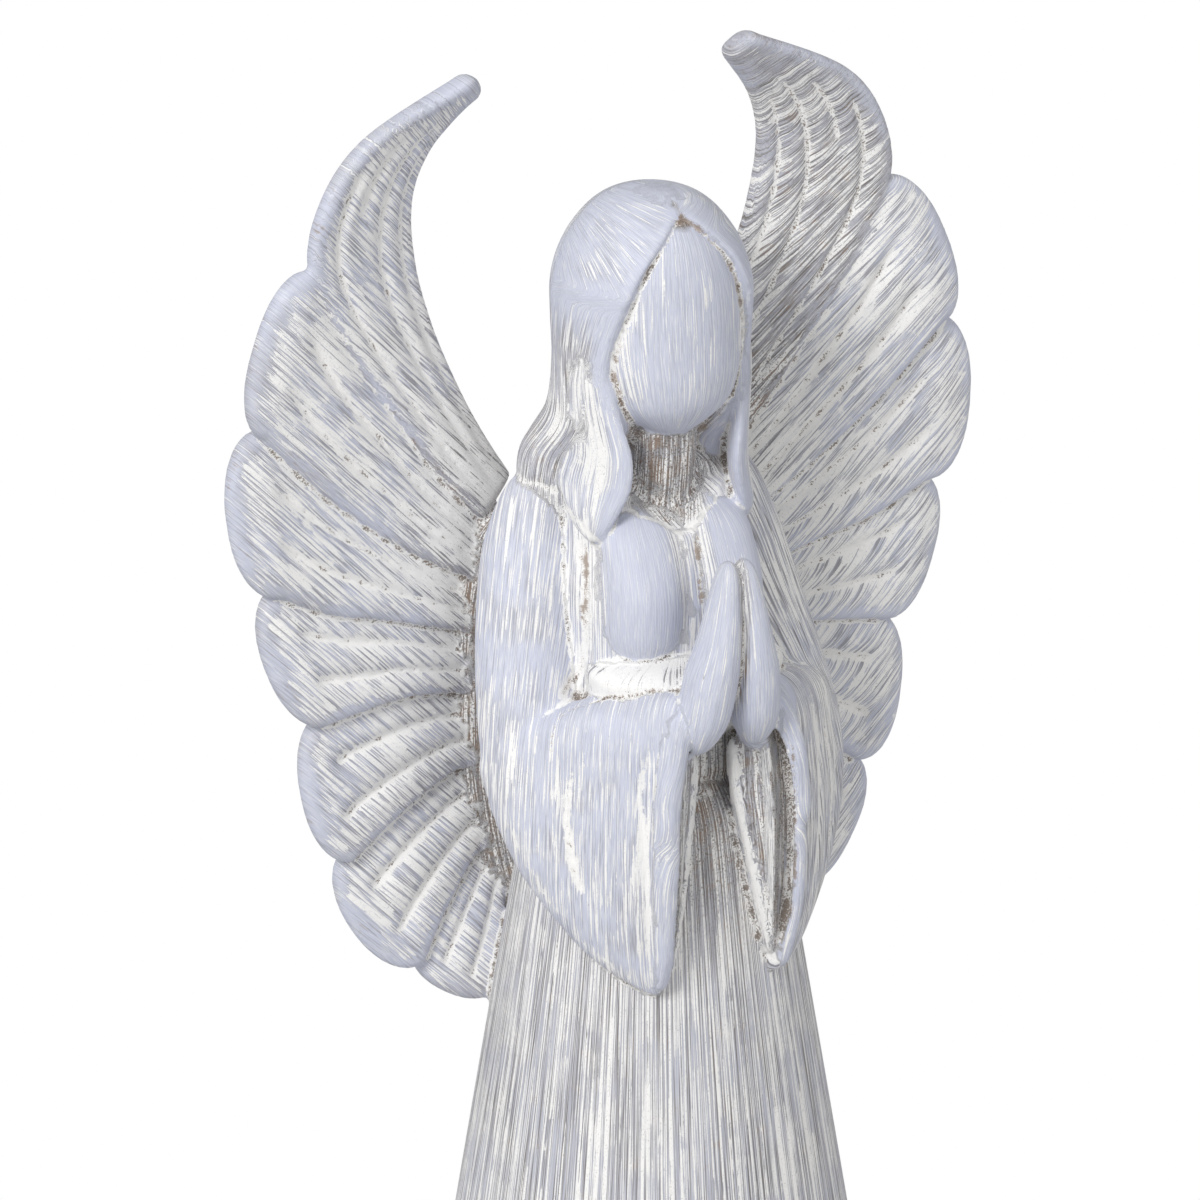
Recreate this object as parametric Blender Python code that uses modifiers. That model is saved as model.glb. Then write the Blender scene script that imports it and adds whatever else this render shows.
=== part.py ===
"""A praying angel with raised feathered wings, cast in one piece on a low round base.

Metres, +Z up. The angel faces -Y, and its left hand is at +X. The origin is the middle of the base's underside.
Run with blender --background --python part.py, or from Blender's text editor.
"""

import math

import bmesh
import bpy
from mathutils import Vector

# Driving dimensions, in metres
statue_height = 0.523
base_height = 0.012
base_margin = 0.005
base_edge = 0.003
wing_thickness = 0.012
wing_plane = 0.0315
wing_dish = 0.013
neck_radius = 0.012
hair_step = 0.009
neckline_step = 0.002

# The figure is posed in its own units: 511 of them from the top of the base to the tips of the wings.
# Its heights are counted from the ground, so that the base's top is at 12 and the wing tips are at 523.
figure_foot = 12.0
figure_top = 523.0
unit = (statue_height - base_height) / (figure_top - figure_foot)
hem_radius = 88.5
base_radius = hem_radius * unit + base_margin

# How finely the clay is fused, and how many triangles are kept, as a share
clay_grain = statue_height / 260
kept_share = 0.037
base_sides = 72

stone_colour = (0.60, 0.62, 0.70, 1.0)
stone_roughness = 0.75


def place(x, y, z):
    """A point of the figure, from its own units to metres."""
    return Vector((x * unit, y * unit, base_height + (z - figure_foot) * unit))


def blend(keys, share):
    """The smooth curve through evenly spaced keys, each a row of numbers, at a share of its length."""
    spot = min(max(share, 0.0), 1.0) * (len(keys) - 1)
    step = min(int(spot), len(keys) - 2)
    f = spot - step
    before, start = keys[max(step - 1, 0)], keys[step]
    end, after = keys[step + 1], keys[min(step + 2, len(keys) - 1)]
    return [
        0.5 * (2 * b + (c - a) * f + (2 * a - 5 * b + 4 * c - d) * f * f + (3 * b - a - 3 * c + d) * f**3)
        for a, b, c, d in zip(before, start, end, after)
    ]


def rounded(share, cap):
    """1 along a lump and 0 at its end, falling as a quarter circle over the last share of it, cap."""
    if share >= cap:
        return 1.0
    return math.sqrt(max(0.0, 1 - (1 - share / cap) ** 2))


def section(angle, squareness):
    """A point on a unit section: a circle at squareness 2, and nearer a square above that."""
    power = 2 / squareness
    across, through = math.cos(angle), math.sin(angle)
    return (
        math.copysign(abs(across) ** power, across),
        math.copysign(abs(through) ** power, through),
    )


def add_lump(clay, shape, around=40, along=40):
    """A ball of clay pulled into shape: shape(share, angle) places each of its points."""
    ball = bmesh.new()
    bmesh.ops.create_uvsphere(ball, u_segments=around, v_segments=along, radius=1)
    for vertex in ball.verts:
        share = (1 + max(-1.0, min(1.0, vertex.co.z))) / 2
        vertex.co = shape(share, math.atan2(vertex.co.y, vertex.co.x))
    bmesh.ops.recalc_face_normals(ball, faces=ball.faces)
    if ball.calc_volume(signed=True) < 0:
        bmesh.ops.reverse_faces(ball, faces=ball.faces)
    mesh = bpy.data.meshes.new("lump")
    ball.to_mesh(mesh)
    ball.free()
    clay.from_mesh(mesh)
    bpy.data.meshes.remove(mesh)


def add_limb(clay, rows, side=1, foot=0.1, head=0.1, squareness=2.0, around=40, along=40):
    """A lump that runs through rows of x, y, z, half width, half depth and turn in degrees."""

    def shape(share, angle):
        x, y, z, wide, deep, turn = blend(rows, share)
        size = rounded(share, foot) * rounded(1 - share, head)
        across, through = section(angle, squareness)
        turn = math.radians(turn)
        across *= wide * size
        through *= deep * size
        return place(
            side * (x + across * math.cos(turn) - through * math.sin(turn)),
            y + across * math.sin(turn) + through * math.cos(turn),
            z,
        )

    return add_lump(clay, shape, around, along)


def add_roll(clay, rows, side=1, foot=0.15, head=0.15, around=28, along=36):
    """A lump whose sections stand across its path: rows of x, y, z, half width and half height."""

    def shape(share, angle):
        x, y, z, wide, high = blend(rows, share)
        ahead, behind = blend(rows, share + 0.02), blend(rows, share - 0.02)
        path = Vector([a - b for a, b in zip(ahead[:3], behind[:3])]).normalized()
        level = path.cross(Vector((0, 0, 1))).normalized()
        upward = level.cross(path)
        size = rounded(share, foot) * rounded(1 - share, head)
        point = Vector((x, y, z))
        point += level * wide * size * math.cos(angle) + upward * high * size * math.sin(angle)
        return place(side * point.x, point.y, point.z)

    add_lump(clay, shape, around, along)


# Gown and body: rows of x, y, z, half width, half depth and turn

waist_radius = 38.0
waist_height = 300.0
gown_folds = 11
gown_roundness = 0.93


def add_gown(clay):
    """The skirt flares in a straight cone from the waist to the hem, with soft folds that fade upwards."""

    def shape(share, angle):
        z = figure_foot / 2 + share * (waist_height - figure_foot / 2)
        down = 1 - share
        radius = waist_radius + (hem_radius - waist_radius) * down
        radius *= rounded(share, 0.012) * rounded(1 - share, 0.1)
        fold = 1 + 0.014 * down**2 * (math.cos(gown_folds * angle) - 1)
        return place(radius * fold * math.cos(angle), gown_roundness * radius * fold * math.sin(angle), z)

    add_lump(clay, shape, around=88, along=60)


def add_torso(clay):
    """Waist, chest and shoulders, with the neckline cut back in a V."""
    rows = (
        (0, 1, 272, 37, 33, 0),
        (0, 0, 292, 36, 33, 0),
        (0, 0, 312, 35, 32, 0),
        (0, 0, 332, 34.5, 31.5, 0),
        (0, 1, 350, 34.5, 32.5, 0),
        (0, 3, 368, 32, 29, 0),
        (0, 7, 384, 29, 21, 0),
        (0, 9, 398, 18, 14, 0),
    )
    add_limb(clay, rows, squareness=2.3, around=56, along=56)


def add_chest(clay, side):
    rows = (
        (14, -18, 328, 11, 12.5, 0),
        (14, -18.5, 341, 14.5, 15, 0),
        (14, -17.5, 354, 15, 16.5, 0),
        (13.5, -14, 366, 14.5, 15.5, 0),
        (13, -8.5, 380, 13.5, 13, 0),
    )
    add_limb(clay, rows, side, foot=0.22, head=0.2, squareness=2.3, around=30, along=34)


neckline_point, neckline_top, neckline_rise, neckline_front = 371.5, 392.0, 0.6, -8.0


def cut_neckline(clay):
    """Sinks the V of bare skin below the gown's edge."""
    for vertex in clay.verts:
        x, y = abs(vertex.co.x) / unit, vertex.co.y / unit
        z = (vertex.co.z - base_height) / unit + figure_foot
        if y < neckline_front and neckline_point + neckline_rise * x < z < neckline_top:
            vertex.co.y += neckline_step


neck_foot, neck_head, neck_lean = 366.0, 424.0, 6.0


def add_neck(clay):
    """The neck leans forward by neck_lean between the collar and the chin."""
    radius = neck_radius / unit
    rows = []
    for share, lean in ((0, 0), (1 / 3, 2 / 3), (2 / 3, 1), (1, 1)):
        rows.append((0, -neck_lean * lean, neck_foot + (neck_head - neck_foot) * share, radius, radius, 0))
    add_limb(clay, rows, around=28, along=20)


# Head: the face is a smooth egg, set in hair that parts over the brow and falls on the shoulders

opening_foot, opening_top = 382.0, 490.0
hair_opening = (18, 17.3, 19.4, 23.9, 26.4, 25.3, 22.2, 15.6, 3.2, -12)
opening_columns = 0.24


def opening_half_width(z):
    if not opening_foot <= z <= opening_top:
        return 18.0 if z < opening_foot else 0.0
    width = blend([(w,) for w in hair_opening], (z - opening_foot) / (opening_top - opening_foot))[0]
    return max(0.0, width)


def add_face(clay):
    rows = (
        (0, -12.5, 404.5, 13, 12, 0),
        (0, -10.5, 415, 20.5, 19, 0),
        (0, -8.2, 426, 25, 24, 0),
        (0, -6, 437, 27, 26, 0),
        (0, -4.5, 448, 27.5, 27, 0),
        (0, -4, 460, 26.5, 26, 0),
        (0, -3.2, 472, 21.5, 22.5, 0),
        (0, -3, 486, 13, 15, 0),
    )
    add_limb(clay, rows, foot=0.2, head=0.16, around=44, along=44)


def add_hair(clay):
    """The hood of hair. Its front opens between two lips, and inside them it is sunk below the face."""
    rows = (
        (0, 14, 366, 36, 18, 0),
        (0, 15, 381, 41, 20, 0),
        (0, 13, 396, 41, 22.5, 0),
        (0, 3, 411, 35.2, 29.3, 0),
        (0, 1, 426, 33.6, 30.5, 0),
        (0, 0.8, 441, 33.3, 34, 0),
        (0, 0.5, 456, 33.5, 35.6, 0),
        (0, 0.5, 471.5, 33.5, 35.6, 0),
        (0, 0.5, 485.5, 33.5, 35.6, 0),
    )
    step = hair_step / unit

    def shape(share, angle):
        _, y, z, wide, deep, _ = blend(rows, share)
        size = rounded(share, 0.08) * rounded(1 - share, 0.32)
        wide *= size
        deep *= size
        turn = math.remainder(angle + math.pi / 2, math.tau)
        spot = abs(turn) / math.pi
        opening = math.asin(min(0.95, opening_half_width(z) / max(wide, 1.0)))
        if spot < opening_columns:
            swing = opening * spot / opening_columns
        else:
            swing = opening + (math.pi - opening) * (spot - opening_columns) / (1 - opening_columns)
        inside = min(1.0, max(0.0, (opening_columns + 0.015 - spot) / 0.05))
        sink = min(step * inside**0.6, 14 * opening)
        x = (wide - sink) * math.sin(swing)
        return place(math.copysign(x, turn), y - (deep - sink) * math.cos(swing), z)

    add_lump(clay, shape, around=100, along=80)


def add_lock(clay, side):
    """The hair beside the neck, which ends in a round tongue on the collar."""
    rows = (
        (29.5, -13, 370.5, 3.5, 2.6, 61),
        (28.6, -10.6, 380, 10, 3.4, 61),
        (27, -10, 390, 14, 3.6, 61),
        (26.1, -12, 401, 12.5, 3.4, 61),
        (27.5, -10.9, 413, 10.5, 3.4, 61),
        (28.5, -9.9, 425, 8.5, 3.4, 61),
        (28.5, -9, 438, 6, 3.4, 61),
    )
    add_limb(clay, rows, side, foot=0.14, head=0.2, around=32, along=44)


# Arms, sleeves and hands, each made for the left side and mirrored


def add_upper_arm(clay, side):
    rows = (
        (44, -24, 248, 11, 11, 0),
        (49, -16.5, 271, 14, 14, 0),
        (50.5, -8, 294, 15.5, 16, 0),
        (47, 1.5, 317, 16.5, 17, 0),
        (43, 9.5, 340, 16, 17, 0),
        (38.5, 15, 363, 15.5, 16.5, 0),
        (34, 17, 388, 15.5, 15, 0),
    )
    add_limb(clay, rows, side, foot=0.12, head=0.24, around=36, along=48)


def add_forearm(clay, side):
    rows = (
        (50, -2, 297, 14, 15),
        (40, -18, 302, 12, 13.5),
        (30, -31, 307.5, 11.6, 13),
        (20, -42, 312, 10.6, 13),
        (12, -49, 314.5, 9, 11),
    )
    add_roll(clay, rows, side, foot=0.25, head=0.12, around=32, along=40)


def add_lap(clay):
    """The fold of cloth that fills the space between the chest and the joined forearms."""
    rows = (
        (0, -17, 300, 24, 17, 0),
        (0, -21, 310, 31, 19, 0),
        (0, -23, 321, 34, 21, 0),
        (0, -22, 332.5, 35, 19, 0),
    )
    add_limb(clay, rows, foot=0.3, head=0.2, squareness=2.4, around=40, along=24)


def add_sleeve(clay, side):
    """The bell of the sleeve hangs from the forearm to a point in front; its chord runs from wrist to elbow."""
    rows = (
        (23, -45, 220, 4, 4, 45),
        (30.5, -38.3, 233, 12.8, 7.3, 47),
        (34.8, -35.6, 246, 19.4, 8.9, 44),
        (38.3, -32.5, 259, 25, 9.9, 43),
        (40.4, -29.5, 272, 29, 10.6, 44),
        (41, -26.3, 285, 32, 11.5, 45.5),
        (40, -23, 298, 33.5, 12.6, 48),
        (33.5, -27.5, 311, 28, 12.8, 48),
        (24, -37.5, 323, 18, 11.5, 48),
    )
    add_limb(clay, rows, side, foot=0.1, head=0.16, squareness=2.9, around=56, along=60)


def add_sleeve_roll(clay, side):
    """The rolled front edge of the sleeve, from the top of the cuff to the point."""
    rows = (
        (22.5, -45.5, 222, 3, 3.2),
        (22.8, -50, 236, 3.6, 4),
        (23.5, -52.5, 252, 4, 4.4),
        (23.8, -54, 270, 4.2, 4.6),
        (23.3, -54, 288, 4.3, 4.8),
        (21.5, -53.3, 303, 4.6, 5),
        (18, -50.5, 315, 4.8, 5.2),
        (13.5, -46.5, 321, 4.5, 5),
    )
    slim = 0.72 if side > 0 else 1.0
    rows = [(x + 6 * (1 - slim), y, z, wide * slim, high) for x, y, z, wide, high in rows]
    add_roll(clay, rows, side, foot=0.06, head=0.06, around=20, along=48)


def add_sleeve_mouth(clay, side):
    """Inside the sleeve's mouth: the thin edge beside the gown, and a flat panel behind it."""
    edge = (
        (19.8, -46.2, 227, 1.9, 2.4, -20),
        (17.6, -45.6, 238, 2.1, 3.4, -20),
        (14.8, -44.2, 254, 2.2, 4, -20),
        (12, -42.4, 271, 2.2, 4, -20),
        (9.3, -40.8, 287, 2.2, 4, -20),
        (8.5, -40, 303, 2.2, 4, -20),
    )
    panel = (
        (20, -46.5, 228, 2, 2.4, -50),
        (18.3, -46, 240, 3.2, 3, -50),
        (16.2, -45, 256, 5, 3.2, -50),
        (14.2, -44, 272, 6.2, 3.4, -50),
        (12.4, -43, 288, 6.8, 3.6, -50),
        (11.5, -42.5, 305, 6.5, 3.6, -50),
    )
    for rows in (edge, panel):
        add_limb(clay, rows, side, foot=0.1, head=0.1, squareness=2.2, around=24, along=40)


def add_hand(clay, side):
    rows = (
        (11, -50, 305, 6, 6.5, 0),
        (9.3, -52.5, 319, 7.8, 10, 0),
        (7.8, -54.5, 333, 8, 10.8, 0),
        (6, -56.5, 346.5, 6.3, 9, 0),
        (4.4, -57, 360, 4.8, 7, 0),
        (2.8, -57, 373.5, 3.2, 4.5, 0),
    )
    add_limb(clay, rows, side, foot=0.2, head=0.14, squareness=2.2, around=32, along=40)


# Wings: seven feathers fan out from the back, between edges given as rows of x and z from root to rim

top_feather_inner = ((28.5, 376), (39, 394), (48, 412), (57, 433), (64, 456), (66.3, 479), (61, 497), (48.5, 513))
top_feather_outer = ((42, 364), (61, 385.5), (79, 411), (96, 435.5), (108.5, 462), (105.5, 485), (90, 505.5), (56, 522))
top_feather_roll = 11.0
tip_reach = 5.0
feather_edges = (
    ((42, 364), (61.5, 385), (79, 411), (95.5, 435), (108.7, 462.5)),
    ((42, 342), (65, 355.5), (86.5, 371), (107.5, 389), (128.8, 411)),
    ((41, 324), (61.5, 331), (82.5, 338.5), (103.5, 345), (123.5, 355)),
    ((41.5, 303), (58.5, 307), (75, 309.5), (91, 309), (106.3, 307.3)),
    ((41.5, 279), (55, 278.5), (70.5, 273), (84, 266), (97.8, 257)),
    ((41, 250), (49, 245), (57.5, 236), (65, 226.5), (71.5, 215.5)),
    ((36, 236), (37, 226), (39, 216), (42, 207), (46, 200)),
)
lobe_reaches = (13, 15.5, 13.5, 13.5, 14, 7.5)
lobe_squareness = 2.08
feather_lean = 2.2
feather_groove = 0.28


def groove(across, share, count, wide=0.16):
    """How deep the long grooves cut a feather's front, from 0 to 1."""
    if not 0.04 < share < 0.86:
        return 0.0
    fade = min(1.0, (share - 0.04) / 0.1, (0.86 - share) / 0.14)
    spots = [2 * (n + 1) / (count + 1) - 1 for n in range(count)]
    return fade * max(max(0.0, 1 - ((across - spot) / wide) ** 2) for spot in spots)


def add_feather(clay, side, upper, lower, reach, roll=0.0):
    """One feather between two edges, ending in a round lobe; its lower edge laps over the next one."""
    rim = 1 - reach / (reach + math.dist(upper[0], upper[-1]))
    thick = wing_thickness / unit / 2

    def shape(share, angle):
        length = min(1.0, share / rim)
        beyond = max(0.0, (share - rim) / (1 - rim))
        a, b = blend(upper, length), blend(lower, length)
        wide = max(0.0, 1 - beyond**lobe_squareness) ** (1 / lobe_squareness)
        deep = math.sqrt(1 - beyond**3) * rounded(share, 0.04)
        half = ((a[0] - b[0]) / 2, (a[1] - b[1]) / 2)
        chord = math.hypot(*half) or 1.0
        outward = (half[1] / chord, -half[0] / chord)
        across, through = section(angle, 3.0)
        if through < 0:
            through *= 1 - feather_groove * groove(across, share, 2)
        x = (a[0] + b[0]) / 2 + outward[0] * beyond * reach + half[0] * across * wide * 1.03
        z = (a[1] + b[1]) / 2 + outward[1] * beyond * reach + half[1] * across * wide * 1.03
        y = wing_plane / unit + through * thick * deep + feather_lean * across * wide
        y += wing_dish / unit * (1 - share) ** 1.5
        y += roll * (4 * share * (1 - share)) ** 0.7 * (1 + across) / 2
        return place(side * x, y, z)

    add_lump(clay, shape, around=64, along=48)


def add_wing(clay, side):
    add_feather(clay, side, top_feather_inner, top_feather_outer, tip_reach, top_feather_roll)
    for upper, lower, reach in zip(feather_edges, feather_edges[1:], lobe_reaches):
        add_feather(clay, side, upper, lower, reach)


def add_wing_root(clay):
    """The web behind the back that carries both wings."""
    back = (wing_plane + 0.75 * wing_dish) / unit
    rows = (
        (0, back, 204, 30, 7, 0),
        (0, back, 238, 45, 9, 0),
        (0, back, 272, 53, 10, 0),
        (0, back, 306, 54, 10.5, 0),
        (0, back, 340, 52, 10.5, 0),
        (0, back, 374, 42, 10, 0),
    )
    add_limb(clay, rows, foot=0.12, head=0.12, squareness=2.4, around=48, along=36)


def model_figure():
    """All the clay in one mesh, as overlapping lumps that the fusing makes one body."""
    clay = bmesh.new()
    add_gown(clay)
    add_torso(clay)
    for side in (1, -1):
        add_chest(clay, side)
    cut_neckline(clay)
    add_neck(clay)
    add_face(clay)
    add_hair(clay)
    add_lap(clay)
    add_wing_root(clay)
    for side in (1, -1):
        add_lock(clay, side)
        add_upper_arm(clay, side)
        add_forearm(clay, side)
        add_sleeve(clay, side)
        add_sleeve_roll(clay, side)
        add_sleeve_mouth(clay, side)
        add_hand(clay, side)
        add_wing(clay, side)
    mesh = bpy.data.meshes.new("angel_statue")
    clay.to_mesh(mesh)
    clay.free()
    return mesh


def make_hollow(side):
    """The deep groove of a sleeve's mouth, cut as a long leaf behind its front edge."""
    rows = (
        (20.8, -49.5, 229, 1.4, 3, -50),
        (21.8, -51.3, 245, 2.3, 5, -50),
        (22, -52.5, 262, 2.8, 6, -50),
        (21.8, -52.8, 280, 3, 6.5, -50),
        (20.3, -52.3, 298, 3, 6.5, -50),
        (18, -50.5, 312, 2.2, 5, -50),
    )
    cut = bmesh.new()
    add_limb(cut, rows, side, foot=0.2, head=0.2, around=20, along=20)
    name = "sleeve_hollow_left" if side > 0 else "sleeve_hollow_right"
    mesh = bpy.data.meshes.new(name)
    cut.to_mesh(mesh)
    cut.free()
    return bpy.data.objects.new(name, mesh)


def make_base():
    """The low round base, with its upper edge rounded."""
    disc = bmesh.new()
    bmesh.ops.create_cone(
        disc, cap_ends=True, segments=base_sides, radius1=base_radius, radius2=base_radius, depth=base_height
    )
    top = [
        edge for edge in disc.edges if all(v.co.z > 0 for v in edge.verts)
    ]
    bmesh.ops.bevel(disc, geom=top, offset=base_edge, segments=3, profile=0.5, affect="EDGES", material=-1)
    bmesh.ops.translate(disc, verts=disc.verts, vec=(0, 0, base_height / 2))
    mesh = bpy.data.meshes.new("base_form")
    disc.to_mesh(mesh)
    disc.free()
    return bpy.data.objects.new("base_form", mesh)


def stone():
    material = bpy.data.materials.new("whitewashed_stone")
    material.use_nodes = True
    shader = material.node_tree.nodes["Principled BSDF"]
    shader.inputs["Base Color"].default_value = stone_colour
    shader.inputs["Roughness"].default_value = stone_roughness
    shader.inputs["Metallic"].default_value = 0.0
    material.diffuse_color = stone_colour
    return material


def hide_helper(helper, collection):
    collection.objects.link(helper)
    helper.hide_render = True
    helper.display_type = "WIRE"


def add_boolean(body, helper, operation):
    cut = body.modifiers.new(helper.name, "BOOLEAN")
    cut.operation = operation
    cut.object = helper
    cut.solver = "EXACT"


def main():
    for old in list(bpy.data.objects):
        bpy.data.objects.remove(old)
    parts = bpy.data.collections.new("angel_statue")
    helpers = bpy.data.collections.new("cutters")
    for collection in (parts, helpers):
        bpy.context.scene.collection.children.link(collection)

    angel = bpy.data.objects.new("angel_statue", model_figure())
    parts.objects.link(angel)
    angel.data.materials.append(stone())

    fuse = angel.modifiers.new("fuse_clay", "REMESH")
    fuse.mode = "VOXEL"
    fuse.voxel_size = clay_grain
    fuse.use_smooth_shade = True
    thin = angel.modifiers.new("thin_mesh", "DECIMATE")
    thin.ratio = kept_share
    for side in (1, -1):
        hollow = make_hollow(side)
        hide_helper(hollow, helpers)
        add_boolean(angel, hollow, "DIFFERENCE")
    base = make_base()
    hide_helper(base, helpers)
    add_boolean(angel, base, "UNION")


main()
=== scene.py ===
import math

import bmesh
import bpy
import numpy as np
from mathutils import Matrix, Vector
from mathutils.kdtree import KDTree


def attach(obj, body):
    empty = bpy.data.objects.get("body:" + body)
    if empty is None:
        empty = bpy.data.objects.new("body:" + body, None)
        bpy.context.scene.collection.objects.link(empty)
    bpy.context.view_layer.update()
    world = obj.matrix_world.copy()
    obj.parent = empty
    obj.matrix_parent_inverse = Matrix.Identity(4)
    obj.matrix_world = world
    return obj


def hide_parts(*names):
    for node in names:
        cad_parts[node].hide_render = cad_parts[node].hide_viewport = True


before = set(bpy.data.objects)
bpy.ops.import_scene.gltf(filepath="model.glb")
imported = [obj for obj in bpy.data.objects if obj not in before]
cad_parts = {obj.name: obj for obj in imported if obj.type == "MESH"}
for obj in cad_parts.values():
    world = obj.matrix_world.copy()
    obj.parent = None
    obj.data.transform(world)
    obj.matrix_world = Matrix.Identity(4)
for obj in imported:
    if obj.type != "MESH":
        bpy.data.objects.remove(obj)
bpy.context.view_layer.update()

# The figure is posed in its own units, millimetres at this size, with heights counted from the ground
statue_height = 0.523
base_height = 0.012
base_radius = 0.0935
base_edge = 0.003
figure_foot = 12.0
figure_top = 523.0
unit = (statue_height - base_height) / (figure_top - figure_foot)
hem_radius = 88.5
wing_thickness = 12.0
wing_plane = 31.5
wing_dish = 13.0

# How finely the clay is fused, and how many triangles are kept
clay_grain = 0.00095
most_triangles = 196000

# Each point of the clay is marked with the way the brush ran over it and with how it was painted
marks = []
balls = {}


def place(x, y, z):
    """A point of the figure, from its own units to metres."""
    return Vector((x * unit, y * unit, base_height + (z - figure_foot) * unit))


def own_height(z):
    """The height of a point in the figure's own units, from metres."""
    return (z - base_height) / unit + figure_foot


def blend(keys, share):
    """The smooth curve through evenly spaced keys, each a row of numbers, at a share of its length."""
    spot = min(max(share, 0.0), 1.0) * (len(keys) - 1)
    step = min(int(spot), len(keys) - 2)
    f = spot - step
    before, start = keys[max(step - 1, 0)], keys[step]
    end, after = keys[step + 1], keys[min(step + 2, len(keys) - 1)]
    return [
        0.5 * (2 * b + (c - a) * f + (2 * a - 5 * b + 4 * c - d) * f * f + (3 * b - a - 3 * c + d) * f**3)
        for a, b, c, d in zip(before, start, end, after)
    ]


def rounded(share, cap):
    """1 along a lump and 0 at its end, falling as a quarter circle over the last share of it, cap."""
    if share >= cap:
        return 1.0
    return math.sqrt(max(0.0, 1 - (1 - share / cap) ** 2))


def section(angle, squareness):
    """A point on a unit section: a circle at squareness 2, and nearer a square above that."""
    power = 2 / squareness
    across, through = math.cos(angle), math.sin(angle)
    return (
        math.copysign(abs(across) ** power, across),
        math.copysign(abs(through) ** power, through),
    )


def rise(value, low, high):
    """0 below low and 1 above high, with a soft step between them."""
    f = min(1.0, max(0.0, (value - low) / (high - low)))
    return f * f * (3 - 2 * f)


def bell(value, middle, width):
    """1 at the middle, falling softly to 0 at about twice the width to either side."""
    return math.exp(-(((value - middle) / width) ** 2))


def round_ball(around, along):
    """A plain ball; each size is made once and then copied."""
    if (around, along) not in balls:
        ball = bmesh.new()
        bmesh.ops.create_uvsphere(ball, u_segments=around, v_segments=along, radius=1)
        balls[around, along] = ball
    return balls[around, along].copy()


def add_lump(clay, shape, finish, around=60, along=60):
    """A ball of clay pulled into shape. finish gives the brush's way and the paint for each point."""
    ball = round_ball(around, along)
    for vertex in ball.verts:
        share = (1 + max(-1.0, min(1.0, vertex.co.z))) / 2
        angle = math.atan2(vertex.co.y, vertex.co.x)
        vertex.co = shape(share, angle)
        spot = vertex.co.copy()
        marks.append((spot, *finish(share, angle, spot.x / unit, spot.y / unit, own_height(spot.z))))
    bmesh.ops.recalc_face_normals(ball, faces=ball.faces)
    if ball.calc_volume(signed=True) < 0:
        bmesh.ops.reverse_faces(ball, faces=ball.faces)
    mesh = bpy.data.meshes.new("lump")
    ball.to_mesh(mesh)
    ball.free()
    clay.from_mesh(mesh)
    bpy.data.meshes.remove(mesh)


def brushed_down(wide, deep, smooth=0.0, soil_and_shade=0.0, chalk=0.0, shift=0.0):
    """Brushed from top to bottom, round a lump of that width and depth."""

    def finish(share, angle, x, y, z):
        return (wide * math.cos(angle) + shift, deep * math.sin(angle), z), (smooth, soil_and_shade, chalk)

    return finish


def add_limb(clay, rows, finish, side=1, foot=0.1, head=0.1, squareness=2.0, around=60, along=60, carve=None):
    """A lump that runs through rows of x, y, z, half width, half depth and turn in degrees."""

    def shape(share, angle):
        x, y, z, wide, deep, turn = blend(rows, share)
        size = rounded(share, foot) * rounded(1 - share, head)
        across, through = section(angle, squareness)
        if carve:
            cut = carve(share, across, through, z)
            wide -= cut
            deep -= cut
        turn = math.radians(turn)
        across *= wide * size
        through *= deep * size
        return place(
            side * (x + across * math.cos(turn) - through * math.sin(turn)),
            y + across * math.sin(turn) + through * math.cos(turn),
            z,
        )

    add_lump(clay, shape, finish, around, along)


def add_roll(clay, rows, finish, side=1, foot=0.15, head=0.15, around=40, along=60):
    """A lump whose sections stand across its path: rows of x, y, z, half width and half height."""

    def shape(share, angle):
        x, y, z, wide, high = blend(rows, share)
        ahead, behind = blend(rows, share + 0.02), blend(rows, share - 0.02)
        path = Vector([a - b for a, b in zip(ahead[:3], behind[:3])]).normalized()
        level = path.cross(Vector((0, 0, 1))).normalized()
        upward = level.cross(path)
        size = rounded(share, foot) * rounded(1 - share, head)
        point = Vector((x, y, z))
        point += level * wide * size * math.cos(angle) + upward * high * size * math.sin(angle)
        return place(side * point.x, point.y, point.z)

    add_lump(clay, shape, finish, around, along)


# Gown and body

waist_radius = 38.0
waist_height = 300.0
gown_folds = 11
gown_roundness = 0.93
fold_depth = 0.014
seam_height = 287.0


def add_gown(clay):
    """The skirt flares in a straight cone from the waist to the hem, with soft folds that fade upwards."""

    def shape(share, angle):
        z = figure_foot / 2 + share * (waist_height - figure_foot / 2)
        down = 1 - share
        radius = waist_radius + (hem_radius - waist_radius) * down
        radius *= rounded(share, 0.012) * rounded(1 - share, 0.1)
        fold = 1 + fold_depth * down**2 * (math.cos(gown_folds * angle) - 1)
        return place(radius * fold * math.cos(angle), gown_roundness * radius * fold * math.sin(angle), z)

    def finish(share, angle, x, y, z):
        # Below the hands and between the sleeves the front of the gown is painted darker: brown streaks together with
        # painted shade under the hands.
        under = rise(z, 215, 285) * rise(-y, 5, 20) * (1 - rise(abs(x), 28, 40))
        return (70 * math.cos(angle), 70 * math.sin(angle), 0.35 * z), (0, 0.4 * under + 0.36, 0.2)

    add_lump(clay, shape, finish, around=260, along=150)


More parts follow.
